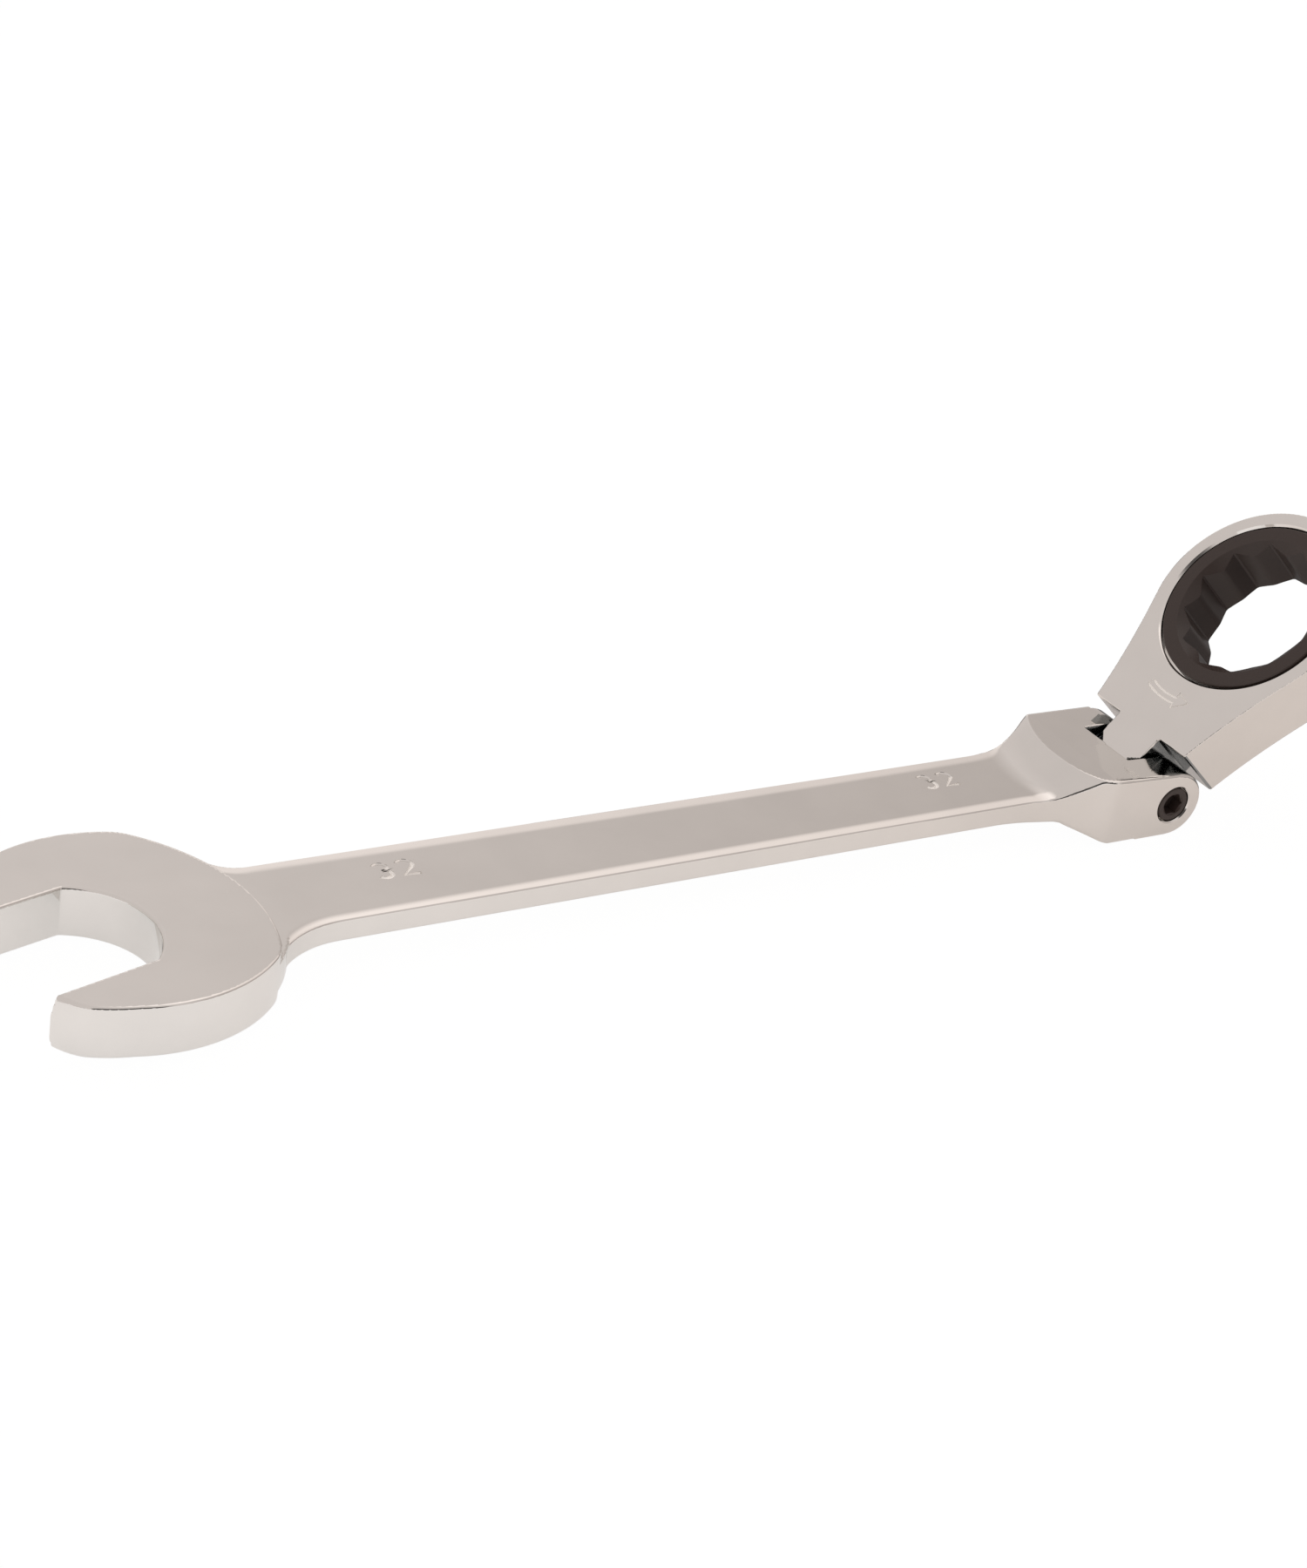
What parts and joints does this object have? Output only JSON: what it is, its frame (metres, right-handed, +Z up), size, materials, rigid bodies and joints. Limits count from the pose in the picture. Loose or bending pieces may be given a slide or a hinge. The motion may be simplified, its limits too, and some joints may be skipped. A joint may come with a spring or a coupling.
{
  "type": "ratchet wrench",
  "caption": "Combination wrench with a slanted open jaw, a long flat shank and a ratcheting twelve-point ring on a head that flexes in a forked end.",
  "frame": {"origin": "centre of the bounding box in plan, at the lowest point of the wrench", "axes": "+X along the handle towards the ratchet head, +Y across the jaw, +Z up"},
  "size_m": [0.3582, 0.068, 0.071],
  "materials": {
    "chrome_forging": "polished",
    "black_oxide": "satin black oxide",
    "hardened_steel": "satin",
    "spring_steel": "satin"
  },
  "bodies": {
    "handle_body": {"handle": "chrome_forging", "pivot_screw": "black_oxide", "pivot_nut": "black_oxide", "friction_washer_near": "spring_steel", "friction_washer_far": "spring_steel"},
    "head_body": {"ratchet_head": "chrome_forging"},
    "gear_body": {"drive_gear": "black_oxide", "retaining_ring": "spring_steel"},
    "pawl_body": {"pawl": "hardened_steel", "pawl_spring": "spring_steel"}
  },
  "joints": [
    {"name": "head_flex", "type": "hinge", "parent": "handle_body", "child": "head_body", "pos_m": [0.12059, 0.0012, 0.0084], "axis": [0, -1, 0], "range_deg": [-137.4, 42.6]},
    {"name": "gear_spin", "type": "hinge", "parent": "head_body", "child": "gear_body", "pos_m": [0.15444, 0.0012, 0.04521], "axis": [-0.7361, 0, 0.6769], "continuous": true},
    {"name": "pawl_slide", "type": "slide", "parent": "head_body", "child": "pawl_body", "axis": [-0.6769, 0, -0.7361], "range_m": [0, 0.0014], "stiffness_N_per_m": 900, "springref_m": -0.0015, "deforming": ["pawl_spring"]}
  ]
}
